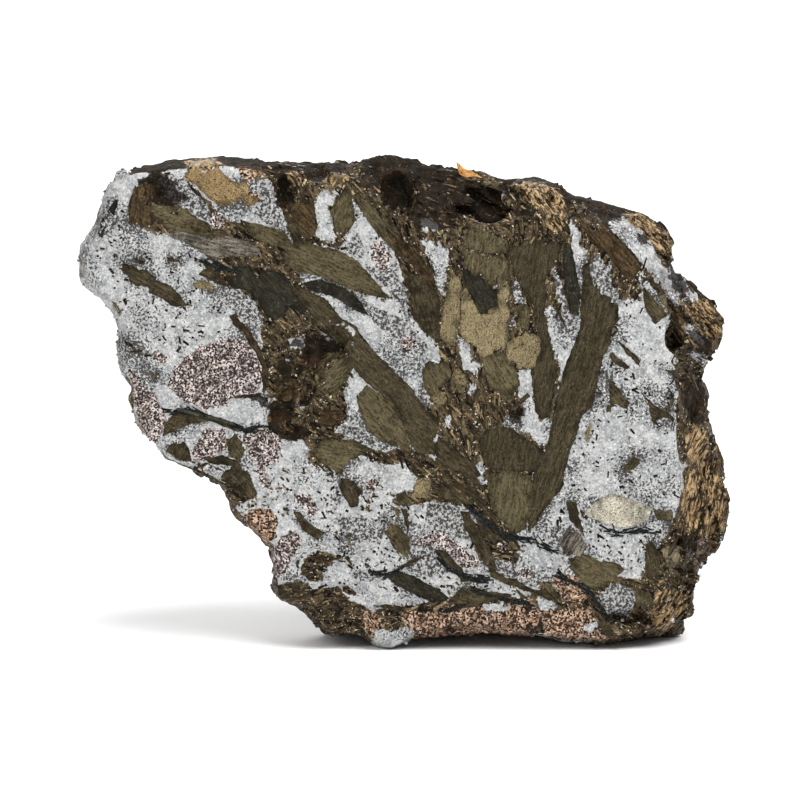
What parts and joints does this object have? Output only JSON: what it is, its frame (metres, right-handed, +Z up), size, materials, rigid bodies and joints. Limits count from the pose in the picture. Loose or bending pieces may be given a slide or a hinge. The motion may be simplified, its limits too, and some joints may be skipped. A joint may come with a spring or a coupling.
{
  "type": "astrophyllite mineral specimen",
  "caption": "Hand specimen of rock with bronze astrophyllite blades in a white and pinkish matrix; one face ground flat, the rest broken rough; stands upright on its lower edge.",
  "frame": {"origin": "middle of the bounding box at the level of the surface it stands on", "axes": "+X to the right as seen from the front, along the longest extent; +Y from the ground front face to the back, the shortest extent; +Z up"},
  "size_m": [0.1308, 0.053, 0.0991],
  "materials": {
    "rock": "ground flat in front, broken rough elsewhere, bronze blades with a silky metallic sheen"
  },
  "bodies": {
    "root": {"specimen": "rock"}
  },
  "joints": []
}
